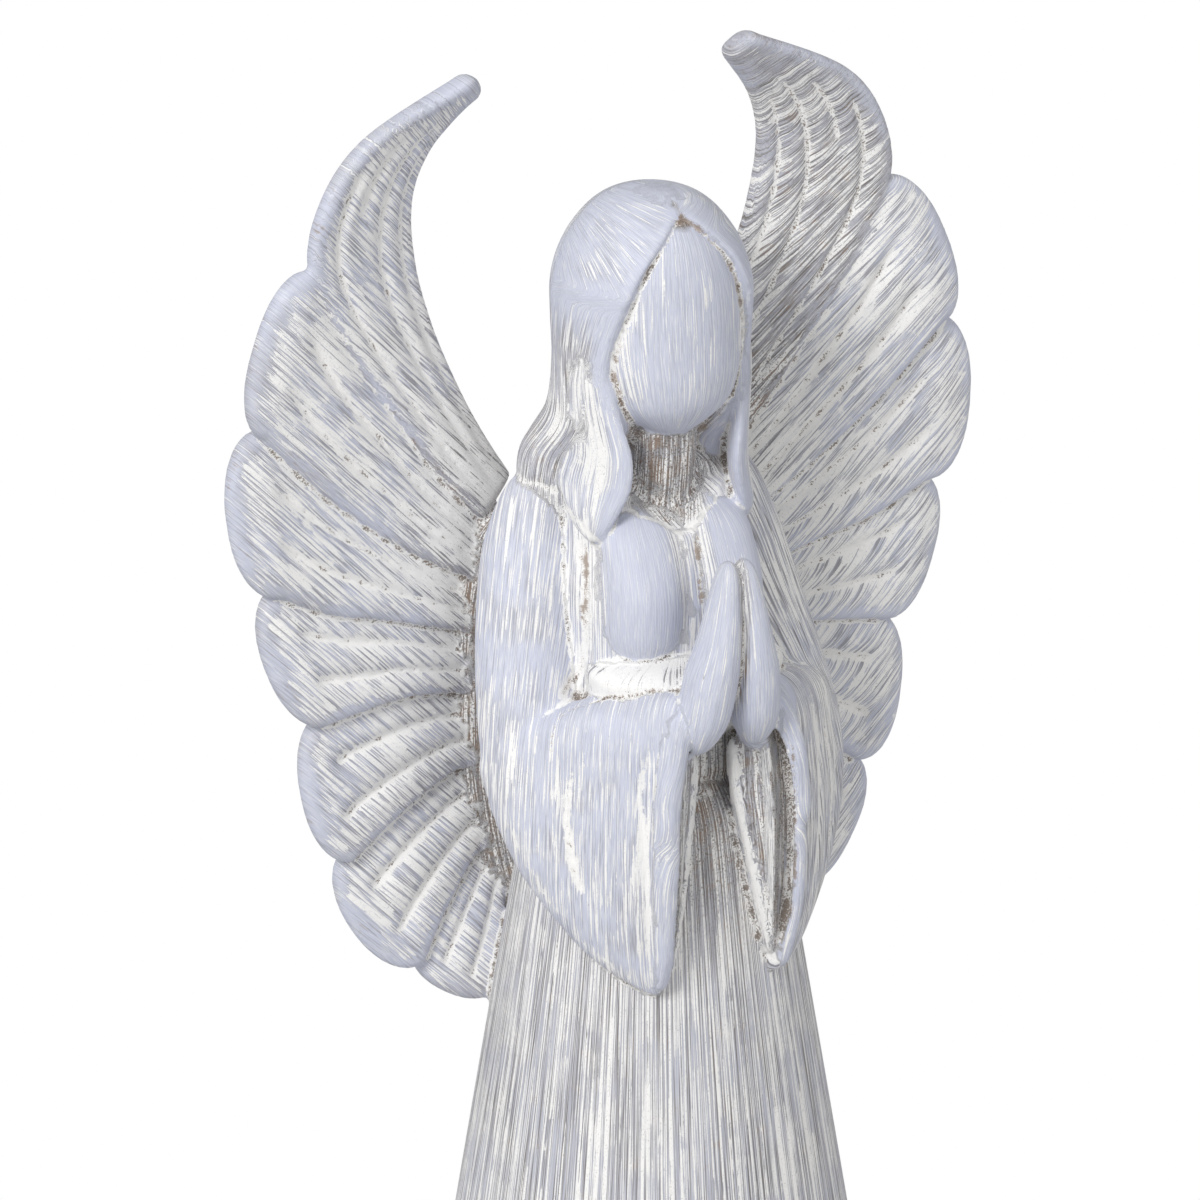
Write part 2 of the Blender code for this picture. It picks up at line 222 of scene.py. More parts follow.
def add_torso(clay):
    """Waist, chest and shoulders."""
    rows = (
        (0, 1, 272, 37, 33, 0),
        (0, 0, 292, 36, 33, 0),
        (0, 0, 312, 35, 32, 0),
        (0, 0, 332, 34.5, 31.5, 0),
        (0, 1, 350, 34.5, 32.5, 0),
        (0, 3, 368, 32, 29, 0),
        (0, 7, 384, 29, 21, 0),
        (0, 9, 398, 18, 14, 0),
    )

    def finish(share, angle, x, y, z):
        skin = rise(z, neckline(x) - 0.5, neckline(x) + 2) * rise(-y, 0, 5)
        # The front of the waist under the lap is painted darker: brown streaks together with painted shade under the
        # hands.
        low = (1 - rise(z, 300, 330)) * rise(-y, 5, 15)
        return (40 * math.cos(angle), 40 * math.sin(angle), z), (0, max(0.7 * skin, 0.7 * low), 0.35)

    def carve(share, across, through, z):
        return 1.1 * bell(z, seam_height, 1.2) * rise(-through, 0.2, 0.5)

    add_limb(clay, rows, finish, squareness=2.3, around=140, along=160, carve=carve)


def add_chest(clay, side):
    rows = (
        (14, -18, 328, 11, 12.5, 0),
        (14, -18.5, 341, 14.5, 15, 0),
        (14, -17.5, 354, 15, 16.5, 0),
        (13.5, -14, 366, 14.5, 15.5, 0),
        (13, -8.5, 380, 13.5, 13, 0),
    )

    def finish(share, angle, x, y, z):
        skin = rise(z, neckline(x) - 0.5, neckline(x) + 2)
        smooth = rise(abs(x), 5, 11) * (1 - rise(abs(x), 26, 30)) * (1 - skin)
        return (20 * math.cos(angle) + side * 30, 20 * math.sin(angle), z), (smooth, 0.7 * skin, 0.5 * (1 - smooth))

    add_limb(clay, rows, finish, side, foot=0.22, head=0.2, squareness=2.3, around=80, along=90)


neckline_point = 371.5
neckline_slope = 0.6
skin_front, skin_top = -8.0, 392.0
skin_sink, edge_lift = 0.0022, 0.0007


def neckline(x):
    """The height of the gown's edge over the chest, which falls to a point in the middle."""
    return neckline_point + neckline_slope * abs(x)


def cut_neckline(clay):
    """Sinks the V of bare skin below the gown's edge, and raises the edge in a thin lip."""
    for vertex in clay.verts:
        x, y, z = abs(vertex.co.x) / unit, vertex.co.y / unit, own_height(vertex.co.z)
        if y < skin_front and z < skin_top:
            gap = z - neckline(x)
            vertex.co.y += skin_sink * rise(gap, -0.4, 0.9)
            vertex.co.y -= edge_lift * bell(gap, -1.6, 1.3)


neck_lines = 9


def add_neck(clay):
    rows = [(0, y, z, 12, 12, 0) for y, z in ((0, 366), (-4, 385), (-6, 404), (-6, 424))]

    def carve(share, across, through, z):
        line = 0.5 + 0.5 * math.cos(neck_lines * math.atan2(through, across) + 0.5)
        return 0.9 * line**3

    add_limb(clay, rows, brushed_down(12, 12, soil_and_shade=0.85, chalk=0.1), around=90, along=50, carve=carve)


# Head: the face is a smooth egg, set in hair that parts over the brow and falls on the shoulders

opening_foot, opening_top = 382.0, 490.0
hair_opening = (18, 17.3, 19.4, 23.9, 26.4, 25.3, 22.2, 15.6, 3.2, -12)
opening_columns = 0.24
hair_step = 9.0
hair_radius = 33
strand_depth = 0.45
# Where the brushing changes from downwards to a fan over the crown, and the angle at which the fan starts
crown_left, crown_right = (452, 457), (474, 486)
fan_start = 0.588
# Points along the edge of the opening, where a crease is drawn afterwards
lip_spots = []


def opening_half_width(z):
    if not opening_foot <= z <= opening_top:
        return 18.0 if z < opening_foot else 0.0
    width = blend([(w,) for w in hair_opening], (z - opening_foot) / (opening_top - opening_foot))[0]
    return max(0.0, width)


def add_face(clay):
    rows = (
        (0, -12.5, 404.5, 13, 12, 0),
        (0, -10.5, 415, 20.5, 19, 0),
        (0, -8.2, 426, 25, 24, 0),
        (0, -6, 437, 27, 26, 0),
        (0, -4.5, 448, 27.5, 27, 0),
        (0, -4, 460, 26.5, 26, 0),
        (0, -3.2, 472, 21.5, 22.5, 0),
        (0, -3, 486, 13, 15, 0),
    )

    def finish(share, angle, x, y, z):
        near_lip = rise(abs(x), 14, 22) * rise(z, 405, 425)
        return (26 * math.cos(angle), 26 * math.sin(angle), z), (0.75 - 0.45 * near_lip, 0, 0.5 * near_lip)

    add_limb(clay, rows, finish, foot=0.2, head=0.16, around=110, along=110)


def add_hair(clay):
    """The hood of hair. Its front opens between two lips, and inside them it is sunk below the face."""
    rows = (
        (0, 14, 366, 36, 18, 0),
        (0, 15, 381, 41, 20, 0),
        (0, 13, 396, 41, 22.5, 0),
        (0, 3, 411, 35.2, 29.3, 0),
        (0, 1, 426, 33.6, 30.5, 0),
        (0, 0.8, 441, 33.3, 34, 0),
        (0, 0.5, 456, 33.5, 35.6, 0),
        (0, 0.5, 471.5, 33.5, 35.6, 0),
        (0, 0.5, 485.5, 33.5, 35.6, 0),
    )

    def spread(share, angle):
        _, y, z, wide, deep, _ = blend(rows, share)
        size = rounded(share, 0.08) * rounded(1 - share, 0.32)
        turn = math.remainder(angle + math.pi / 2, math.tau)
        opening = math.asin(min(0.95, opening_half_width(z) / max(wide * size, 1.0)))
        return y, z, wide * size, deep * size, turn, abs(turn) / math.pi, opening

    def shape(share, angle):
        y, z, wide, deep, turn, spot, opening = spread(share, angle)
        if spot < opening_columns:
            swing = opening * spot / opening_columns
        else:
            swing = opening + (math.pi - opening) * (spot - opening_columns) / (1 - opening_columns)
        inside = min(1.0, max(0.0, (opening_columns + 0.015 - spot) / 0.05))
        sink = min(hair_step * inside**0.6, 14 * opening)
        lip = spot - opening_columns - 0.035
        strand = 0.5 + 0.5 * math.cos(70 * spot + 2.2 * math.sin(share * 5))
        sink += strand_depth * strand**2 * rise(lip, 0.02, 0.1) * rise(1 - share, 0.1, 0.3)
        x = (wide - sink) * math.sin(swing)
        return place(math.copysign(x, turn), y - (deep - sink) * math.cos(swing), z)

    def finish(share, angle, x, y, z):
        """Brushed downwards, and over the crown in a fan that starts at the parting."""
        turn, spot = spread(share, angle)[4:6]
        from_lip = (spot - opening_columns) * math.pi * hair_radius
        band = rise(from_lip, -2, 0) * (1 - rise(from_lip, 5, 8))
        inside = 1 - rise(from_lip, -4, 0)
        low = 1 - rise(z, 395, 440)
        front = rise(-y, -14, -10)
        crown = front * rise(z, *(crown_left if x < 0 else crown_right))
        way = math.copysign(spot, turn) * 100
        # How far to the right of the parting and above it, as seen from the left and from above
        beside = 0.877 * x - 0.48 * y + 35.5
        above = 0.164 * x + 0.3 * y + 0.94 * (z - 341.2) - 143.3
        fan = math.atan2(-above, max(1.0, beside))
        grain = (way * (1 - crown) - crown * (24 + 50 * (fan - fan_start)), 0, z + 0.6 * y * crown)
        wear_and_shade = 0.3 * (1 - rise(z, 430, 450)) * (1 - band)
        smooth = max(band, front * bell(z, 456, 7), 0.4 * front * rise(z, 445, 460))
        if opening_columns - 0.014 < spot < opening_columns + 0.004 and 396 < z < 481:
            lip_spots.append((x, y, z))
        return grain, (smooth, inside * 0.9 + 0.15 * low + wear_and_shade, 0.15 * low * (1 - band))

    add_lump(clay, shape, finish, around=220, along=170)


def add_lock(clay, side):
    """The hair beside the neck, which ends in a round tongue on the collar."""
    rows = (
        (29.5, -13, 370.5, 3.5, 2.6, 61),
        (28.6, -10.6, 380, 10, 3.4, 61),
        (27, -10, 390, 14, 3.6, 61),
        (26.1, -12, 401, 12.5, 3.4, 61),
        (27.5, -10.9, 413, 10.5, 3.4, 61),
        (28.5, -9.9, 425, 8.5, 3.4, 61),
        (28.5, -9, 438, 6, 3.4, 61),
    )

    def finish(share, angle, x, y, z):
        inner = math.cos(angle)
        band = 1 - rise(inner, -0.75, -0.3)
        return (14 * inner + side * 20, 8 * math.sin(angle), z), (band, 0, 0.6 * (1 - band))

    add_limb(clay, rows, finish, side, foot=0.14, head=0.2, around=72, along=90)


# Arms, sleeves and hands, each made for the left side and mirrored


def brushed_along_arm(side, x, y, z):
    """The brush ran down over the arms and sleeves, and its lines lie side by side from front to outside."""
    return side * 0.75 * (abs(x) + y + 60), 0, z


def add_upper_arm(clay, side):
    rows = (
        (44, -24, 248, 11, 11, 0),
        (49, -16.5, 271, 14, 14, 0),
        (50.5, -8, 294, 15.5, 16, 0),
        (47, 1.5, 317, 16.5, 17, 0),
        (43, 9.5, 340, 16, 17, 0),
        (38.5, 15, 363, 15.5, 16.5, 0),
        (34, 17, 388, 15.5, 15, 0),
    )

    def finish(share, angle, x, y, z):
        # The right arm carries soil and painted shade, for the side turned from the light, and more white paint; the
        # left arm is smoother.
        return brushed_along_arm(side, x, y, z), ((0, 0.25, 0.3) if side > 0 else (0.2, 0, 0.1))

    add_limb(clay, rows, finish, side, foot=0.12, head=0.24, around=90, along=120)


def add_forearm(clay, side):
    rows = (
        (50, -2, 297, 14, 15),
        (40, -18, 302, 12, 13.5),
        (30, -31, 307.5, 11.6, 13),
        (20, -42, 312, 10.6, 13),
        (12, -49, 314.5, 9, 11),
    )

    def finish(share, angle, x, y, z):
        return brushed_along_arm(side, x, y, z), (0.6, 0, 0)

    add_roll(clay, rows, finish, side, foot=0.25, head=0.12, around=70, along=80)


def add_lap(clay):
    """The fold of cloth that fills the space between the chest and the joined forearms."""
    rows = (
        (0, -17, 300, 24, 17, 0),
        (0, -21, 310, 31, 19, 0),
        (0, -23, 321, 34, 21, 0),
        (0, -22, 332.5, 35, 19, 0),
    )
    finish = brushed_down(28, 20, soil_and_shade=0.3, chalk=1.1)
    add_limb(clay, rows, finish, foot=0.3, head=0.2, squareness=2.4, around=80, along=50)


# The valleys down each sleeve: where each lies across it, and where along it it starts and ends
sleeve_valleys = {
    -1: ((0.08, 0.34, 0.84), (-0.76, 0.12, 0.98)),
    1: ((0.3, 0.3, 0.9), (-0.35, 0.16, 0.98)),
}
sleeve_valley_width = 0.048
sleeve_valley_depth = 1.4
sleeve_squareness = 2.9
slim_roll = 0.72


def add_sleeve(clay, side):
    """The bell of the sleeve hangs from the forearm to a point in front; its chord runs from wrist to elbow."""
    rows = (
        (23, -45, 220, 4, 4, 45),
        (30.5, -38.3, 233, 12.8, 7.3, 47),
        (34.8, -35.6, 246, 19.4, 8.9, 44),
        (38.3, -32.5, 259, 25, 9.9, 43),
        (40.4, -29.5, 272, 29, 10.6, 44),
        (41, -26.3, 285, 32, 11.5, 45.5),
        (40, -23, 298, 33.5, 12.6, 48),
        (33.5, -27.5, 311, 28, 12.8, 48),
        (24, -37.5, 323, 18, 11.5, 48),
    )

    def valleys(share, across, outer):
        cut = 0.0
        for spot, low, high in sleeve_valleys[side]:
            fade = rise(share, low - 0.12, low + 0.05) * (1 - rise(share, high - 0.2, high))
            cut += fade * bell(across, spot, sleeve_valley_width)
        return cut * outer

    def carve(share, across, through, z):
        return sleeve_valley_depth * valleys(share, across, rise(-through, 0.1, 0.6))

    def finish(share, angle, x, y, z):
        across, through = section(angle, sleeve_squareness)
        soil_and_shade = rise(through, 0.3, 0.8) * 0.4
        lined = valleys(share, across, 1.0)
        smooth = (0.1 + 0.5 * rise(share, 0.72, 0.9)) * (1 - lined)
        # The right sleeve carries more soil and painted shade, for the side turned from the light.
        if side > 0:
            return brushed_along_arm(side, x, y, z), (0, soil_and_shade + 0.25, 0.3 + lined)
        return brushed_along_arm(side, x, y, z), (smooth, soil_and_shade, 0.15 + 1.1 * lined)

    add_limb(
        clay, rows, finish, side, foot=0.1, head=0.16, squareness=sleeve_squareness, around=170, along=130, carve=carve
    )


def add_sleeve_roll(clay, side):
    """The rolled front edge of the sleeve, from the top of the cuff to the point."""
    rows = (
        (22.5, -45.5, 222, 3, 3.2),
        (22.8, -50, 236, 3.6, 4),
        (23.5, -52.5, 252, 4, 4.4),
        (23.8, -54, 270, 4.2, 4.6),
        (23.3, -54, 288, 4.3, 4.8),
        (21.5, -53.3, 303, 4.6, 5),
        (18, -50.5, 315, 4.8, 5.2),
        (13.5, -46.5, 321, 4.5, 5),
    )
    slim = slim_roll if side > 0 else 1.0
    rows = [(x + 6 * (1 - slim), y, z, wide * slim, high) for x, y, z, wide, high in rows]

    def finish(share, angle, x, y, z):
        return (5 * math.cos(angle) + side * 90, 5 * math.sin(angle), z), (0.7, 0, 0.1)

    add_roll(clay, rows, finish, side, foot=0.06, head=0.06, around=44, along=110)


def add_sleeve_mouth(clay, side):
    """Inside the sleeve's mouth: a thin edge beside the gown, a flat panel, and a ridge of cloth."""
    edge = (
        (19.8, -46.2, 227, 1.3, 2.4, -20),
        (17.6, -45.6, 238, 1.5, 3.4, -20),
        (14.6, -44.2, 254, 1.6, 4, -20),
        (11.6, -42.4, 271, 1.6, 4, -20),
        (8.8, -40.8, 287, 1.6, 4, -20),
        (8, -40, 303, 1.6, 4, -20),
    )
    panel = (
        (20, -46.5, 228, 2, 2, -50),
        (18.3, -46, 240, 3.2, 2.4, -50),
        (16.2, -45, 256, 5, 2.6, -50),
        (14.2, -44, 272, 6.2, 2.8, -50),
        (12.4, -43, 288, 6.8, 3, -50),
        (11.5, -42.5, 305, 6.5, 3, -50),
    )
    ridge = (
        (20.8, -48.3, 233, 1.2, 2.4, -50),
        (20, -49.3, 246, 1.7, 3.2, -50),
        (19.3, -50, 262, 1.9, 3.4, -50),
        (18.6, -50, 280, 1.9, 3.4, -50),
        (17.4, -49.3, 296, 1.9, 3.4, -50),
        (16.3, -48.3, 307, 1.6, 3, -50),
    )
    for rows, smooth, soil_and_shade, chalk in ((edge, 0, 0.1, 1.2), (panel, 0.2, 0.65, 0), (ridge, 0, 0.4, 0.7)):
        finish = brushed_down(6, 6, smooth, soil_and_shade, chalk, shift=side * 95)
        add_limb(clay, rows, finish, side, foot=0.1, head=0.1, squareness=2.2, around=40, along=80)


def add_hand(clay, side):
    rows = (
        (11, -50, 305, 6, 6.5, 0),
        (9.3, -52.5, 319, 7.8, 10, 0),
        (7.8, -54.5, 333, 8, 10.8, 0),
        (6, -56.5, 346.5, 6.3, 9, 0),
        (4.4, -57, 360, 4.8, 7, 0),
        (2.8, -57, 373.5, 3.2, 4.5, 0),
    )

    def finish(share, angle, x, y, z):
        inner = 1 - rise(abs(x), 0.5, 3.0)
        return (9 * math.cos(angle) + side * 25, 9 * math.sin(angle), z), (0.75 * (1 - inner), 0.5 * inner, 0)

    add_limb(clay, rows, finish, side, foot=0.2, head=0.14, squareness=2.2, around=72, along=90)


# Wings: seven feathers fan out from the back, between edges given as rows of x and z from root to rim

top_feather_inner = ((28.5, 376), (39, 394), (48, 412), (57, 433), (64, 456), (66.3, 479), (61, 497), (48.5, 513))
top_feather_outer = (
    (42, 364), (61, 385.5), (79, 411), (96, 435.5), (108.5, 462), (105.5, 485), (90, 505.5), (56, 522)
)
top_feather_roll = 11.0
tip_reach = 5.0
feather_edges = (
    ((42, 364), (61.5, 385), (79, 411), (95.5, 435), (108.7, 462.5)),
    ((42, 342), (65, 355.5), (86.5, 371), (107.5, 389), (128.8, 411)),
    ((41, 324), (61.5, 331), (82.5, 338.5), (103.5, 345), (123.5, 355)),
    ((41.5, 303), (58.5, 307), (75, 309.5), (91, 309), (106.3, 307.3)),
    ((41.5, 279), (55, 278.5), (70.5, 273), (84, 266), (97.8, 257)),
    ((41, 250), (49, 245), (57.5, 236), (65, 226.5), (71.5, 215.5)),
    ((36, 236), (37, 226), (39, 216), (42, 207), (46, 200)),
)
lobe_reaches = (13, 15.5, 13.5, 13.5, 14, 7.5)
lobe_squareness = 2.08
feather_lean = 2.2
rim_width = 5.5
rim_step = 0.6
valley_depth = 3.2
back_valley_depth = 1.0
feather_squareness = 3.0


def valley_fall(across, share, valleys):
    """0 on the round crest of each ridge of a feather, rising to 1 in the valleys between them."""
    stops = [(1.0, False), (-1.0, False)]
    for root, tip, low, high in valleys:
        deep = rise(share, low, low + 0.08) * (1 - rise(share, high - 0.12, high))
        stops.append((root + (tip - root) * share, deep))
    stops.sort()
    for (low, low_deep), (high, high_deep) in zip(stops, stops[1:]):
        if low <= across <= high:
            f = 2 * (across - low) / max(1e-6, high - low) - 1
            return abs(f) ** 2.6 * (low_deep if f < 0 else high_deep)
    return 0.0


def add_feather(clay, side, upper, lower, reach, valleys, roll=0.0):
    """One feather between two edges, ending in a round lobe; its lower edge laps over the next one."""
    length_mm = reach + math.dist(upper[0], upper[-1])
    rim = 1 - reach / length_mm
    thick = wing_thickness / 2

    def frame_at(share):
        a, b = blend(upper, min(1.0, share / rim)), blend(lower, min(1.0, share / rim))
        beyond = max(0.0, (share - rim) / (1 - rim))
        wide = max(0.0, 1 - beyond**lobe_squareness) ** (1 / lobe_squareness)
        half = ((a[0] - b[0]) / 2, (a[1] - b[1]) / 2)
        return a, b, beyond, wide, half, math.hypot(*half) or 1.0

    def inner_share(share, across, wide, chord):
        """How far a point is inside the feather's smooth rim, from 0 on the rim to 1."""
        edge = (1 + across) * chord * wide
        if share > 0.75:
            edge = min(edge, (1 - across) * chord * wide + 20 * rise(1 - share, 0.1, 0.25))
        tip = (1 - share) * length_mm
        wide_rim = rim_width * (0.5 + 0.5 * rise(share, 0.4, 0.85))
        return rise(min(edge, tip), wide_rim * 0.5, wide_rim * 1.3)

    def shape(share, angle):
        a, b, beyond, wide, half, chord = frame_at(share)
        deep = math.sqrt(1 - beyond**2.2) * rounded(share, 0.04)
        outward = (half[1] / chord, -half[0] / chord)
        across, through = section(angle, feather_squareness)
        x = (a[0] + b[0]) / 2 + outward[0] * beyond * reach + half[0] * across * wide * 1.03
        z = (a[1] + b[1]) / 2 + outward[1] * beyond * reach + half[1] * across * wide * 1.03
        y = wing_plane + through * thick * deep + feather_lean * across * wide
        y += wing_dish * (1 - share) ** 1.5
        y += roll * (4 * share * (1 - share)) ** 0.7 * (1 + across) / 2
        fall = valley_fall(across, share, valleys)
        narrow = min(1.0, 0.35 + chord / 26)
        if through < 0:
            front = rise(-through, 0.3, 0.8)
            y += front * (rim_step * inner_share(share, across, wide, chord) + valley_depth * narrow * fall)
        else:
            y -= back_valley_depth * rise(through, 0.3, 0.8) * fall
        return place(side * x, y, z)

    def finish(share, angle, x, y, z):
        _, _, _, wide, _, chord = frame_at(share)
        across, through = section(angle, feather_squareness)
        inner = inner_share(share, across, wide, chord)
        valley = valley_fall(across, share, valleys)
        out = abs(x)
        way = ((out - z) * 0.7 + side * 40, 0, (out + z) * 0.7)
        root = 1 - rise(share, 0.05, 0.35)
        chalk = min(1.3, 0.2 + 0.9 * rise(valley, 0.35, 0.8) + 0.45 * root)
        soil_and_shade = 0.12 + 0.4 * root + 0.45 * rise(valley, 0.6, 0.95)
        if side < 0:
            return way, (0.85 * (1 - inner), 0.75 * soil_and_shade + 0.25 * (1 - inner), chalk + 0.45 * inner - 0.15)
        # The right wing's top feather is painted darker, as painted shade on the side turned from the light; the right
        # wing's other feathers get more white paint.
        return way, (0.9 * (1 - inner), soil_and_shade + (0.35 if roll else 0.0), chalk - (0.1 if roll else -0.3))

    add_lump(clay, shape, finish, around=132, along=110)


# The valleys of a feather: where each lies at the root and at the tip, and where along it it starts and ends
top_feather_valleys = (
    (0.7, 0.76, 0.05, 0.9),
    (0.2, 0.34, 0.02, 0.95),
    (-0.1, -0.22, 0.62, 0.9),
    (-0.3, -0.68, 0.02, 0.82),
)
feather_valleys = ((0.3, 0.42, 0.02, 0.88), (-0.3, -0.34, 0.02, 0.9))


def add_wing(clay, side):
    add_feather(
        clay, side, top_feather_inner, top_feather_outer, tip_reach, top_feather_valleys, top_feather_roll
    )
    for upper, lower, reach in zip(feather_edges, feather_edges[1:], lobe_reaches):
        add_feather(clay, side, upper, lower, reach, feather_valleys)


def add_wing_root(clay):
    """The web behind the back that carries both wings."""
    back = wing_plane + 0.75 * wing_dish
    rows = (
        (0, back, 204, 30, 7, 0),
        (0, back, 238, 45, 9, 0),
        (0, back, 272, 53, 10, 0),
        (0, back, 306, 54, 10.5, 0),
        (0, back, 340, 52, 10.5, 0),
        (0, back, 374, 42, 10, 0),
    )

    def finish(share, angle, x, y, z):
        return (50 * math.cos(angle), 10 * math.sin(angle), z), (0, 0.3 + 0.7 * rise(back + 2 - y, 0, 4), 0.2)

    add_limb(clay, rows, finish, foot=0.12, head=0.12, squareness=2.4, around=120, along=90)


def add_base(clay):
    """The low round base, with its upper edge rounded."""
    edge = base_edge / unit
    high = base_height / unit
    wide = base_radius / unit
    under, wall, round_edge = 0.04, 0.7, 0.9

    def shape(share, angle):
        if share < under:
            radius, z = wide * share / under, 0.0
        elif share < wall:
            radius, z = wide, (high - edge) * (share - under) / (wall - under)
        elif share < round_edge:
            turn = (share - wall) / (round_edge - wall) * math.pi / 2
            radius, z = wide - edge * (1 - math.cos(turn)), high - edge * (1 - math.sin(turn))
        else:
            radius, z = (wide - edge) * (1 - (share - round_edge) / (1 - round_edge)), high
        return place(radius * math.cos(angle), radius * math.sin(angle), z)

    add_lump(clay, shape, brushed_down(93, 93, soil_and_shade=0.3), around=240, along=90)


def model_figure():
    """All the clay in one mesh, as overlapping lumps that the fusing makes one body."""
    clay = bmesh.new()
    add_torso(clay)
    for side in (1, -1):
        add_chest(clay, side)
    cut_neckline(clay)
    add_gown(clay)
    add_neck(clay)
    add_face(clay)
    add_hair(clay)
    add_lap(clay)
    add_wing_root(clay)
    add_base(clay)
    for side in (1, -1):
        add_lock(clay, side)
        add_upper_arm(clay, side)
        add_forearm(clay, side)
        add_sleeve(clay, side)
        add_sleeve_roll(clay, side)
        add_sleeve_mouth(clay, side)
        add_hand(clay, side)
        add_wing(clay, side)
    mesh = bpy.data.meshes.new("angel_clay")
    clay.to_mesh(mesh)
    clay.free()
    return mesh


def apply_modifiers(piece):
    """The piece's mesh with its modifiers worked in."""
    done = bpy.data.meshes.new_from_object(piece.evaluated_get(bpy.context.evaluated_depsgraph_get()))
    old = piece.data
    piece.modifiers.clear()
    piece.data = done
    bpy.data.meshes.remove(old)


def make_hollow(side):
    """The deep groove of a sleeve's mouth, cut as a long leaf behind its front edge."""
    rows = (
        (20.8, -49.5, 229, 1.4, 3, -50),
        (21.8, -51.3, 245, 2.3, 5, -50),
        (22, -52.5, 262, 2.8, 6, -50),
        (21.8, -52.8, 280, 3, 6.5, -50),
        (20.3, -52.3, 298, 3, 6.5, -50),
        (18, -50.5, 312, 2.2, 5, -50),
    )
    cut = bmesh.new()

    def finish(share, angle, x, y, z):
        return (8 * math.cos(angle) + side * 70, 8 * math.sin(angle), z), (0, 0.9, 0.25)

    add_limb(cut, rows, finish, side, foot=0.2, head=0.2, around=40, along=60)
    mesh = bpy.data.meshes.new("hollow")
    cut.to_mesh(mesh)
    cut.free()
    return bpy.data.objects.new("hollow", mesh)


def mesh_numbers(mesh):
    """The mesh's points and edges as arrays."""
    points = np.empty(len(mesh.vertices) * 3, dtype=np.float32)
    mesh.vertices.foreach_get("co", points)
    edges = np.empty(len(mesh.edges) * 2, dtype=np.int32)
    mesh.edges.foreach_get("vertices", edges)
    return points.reshape(-1, 3), edges.reshape(-1, 2)


def point_normals(mesh):
    normals = np.empty(len(mesh.vertices) * 3, dtype=np.float32)
    mesh.vertices.foreach_get("normal", normals)
    return normals.reshape(-1, 3)


def softened(points, edges, rounds):
    """The points after each has been drawn towards its neighbours a number of times."""
    count = len(points)
    a, b = edges[:, 0], edges[:, 1]
    near = np.bincount(a, minlength=count) + np.bincount(b, minlength=count)
    soft = points.astype(np.float64)
    for _ in range(rounds):
        total = np.empty_like(soft)
        for axis in range(3):
            column = soft[:, axis]
            total[:, axis] = np.bincount(a, weights=column[b], minlength=count)
            total[:, axis] += np.bincount(b, weights=column[a], minlength=count)
        soft = 0.4 * soft + 0.6 * total / near[:, None]
    return soft


def hollows(points, edges, normals, rounds):
    """How deep each point lies below its surroundings, in millimetres; crests are negative."""
    return np.einsum("ij,ij->i", softened(points, edges, rounds) - points, normals) * 1000


def tree_of(points):
    tree = KDTree(len(points))
    for index, point in enumerate(points):
        tree.insert(point, index)
    tree.balance()
    return tree


def add_attribute(mesh, name, rows):
    layer = mesh.attributes.new(name, "FLOAT_VECTOR", "POINT")
    layer.data.foreach_set("vector", np.asarray(rows, dtype=np.float32).ravel())


# Where a thumb smoothed the joins of the clay: a middle and half sizes, for the left side and mirrored
soft_zones = (
    ((57, -16, 278), (13, 20, 38)),
    ((47, 8, 386), (20, 14, 12)),
    ((37, -37, 307), (24, 15, 15)),
)

# Creases drawn into the clay: half width, depth, white paint, dirt, whether mirrored, and the line itself
creases = (
    (1.0, 0.5, 1.3, 0.0, True, (
        (-40.2, 20.3, 386.6), (-37.1, 5.9, 385.5), (-34.3, -2.8, 381.4), (-32, -12.3, 375.2),
        (-28, -16, 370.5)
    )),
    (2.2, 0.6, 1.3, 0.5, True, (
        (-31, -6, 374), (-31.5, -11, 360), (-32, -13.5, 347), (-32.5, -13, 334), (-35.5, -11.5, 323),
        (-42, -14, 318)
    )),
    (1.4, 0.6, 0.0, 0.75, True, ((-31.5, -9, 370), (-32.5, -12, 357), (-33.5, -12.5, 343))),
    (1.0, 0.6, 0.5, 0.6, True, (
        (-12.4, -43, 326), (-22, -38.9, 325.4), (-30, -32, 322.6), (-37, -25.5, 320), (-44, -22.5, 317.5),
        (-50, -24.3, 312), (-52.8, -26, 302)
    )),
    (1.2, 0.4, 0.0, 0.7, False, ((3.4, -24, 372), (2.4, -27, 366), (1.9, -30, 358), (1.5, -31, 348))),
    (1.1, 0.3, 1.5, 0.0, True, ((-17, -16, 381.7), (-9, -20, 376.9), (-1, -22.5, 372.1))),
    (1.0, 0.7, 0.3, 0.8, False, ((-10, -43, 287.3), (0.7, -38, 287.3), (8, -36, 287.7))),
    (1.0, 0.3, 1.5, 0.0, False, ((-10, -43, 285.6), (0.7, -38, 285.6), (8, -36, 286))),
    (1.2, 0.6, 1.4, 0.4, True, ((47, -32, 300), (50, -33, 285), (49.5, -35, 270), (47.5, -37, 258))),
    (1.3, 0.5, 0.2, 0.75, False, (
        (22.5, -56.5, 308), (22.2, -57, 290), (22.2, -56.5, 268), (22.3, -55, 250), (21.3, -52, 236)
    )),
    (1.0, 0.0, 1.2, 0.0, False, ((37.7, -38.1, 315), (40.5, -40, 297), (39.3, -43, 277), (36.5, -45.8, 252))),
    (1.6, 0.0, 0.8, 0.0, True, (
        (-65, -14, 287), (-61.7, -21.8, 271), (-54.3, -28.9, 254), (-44.5, -35.1, 238), (-36, -42, 231)
    )),
)
crease_gap = 1.2


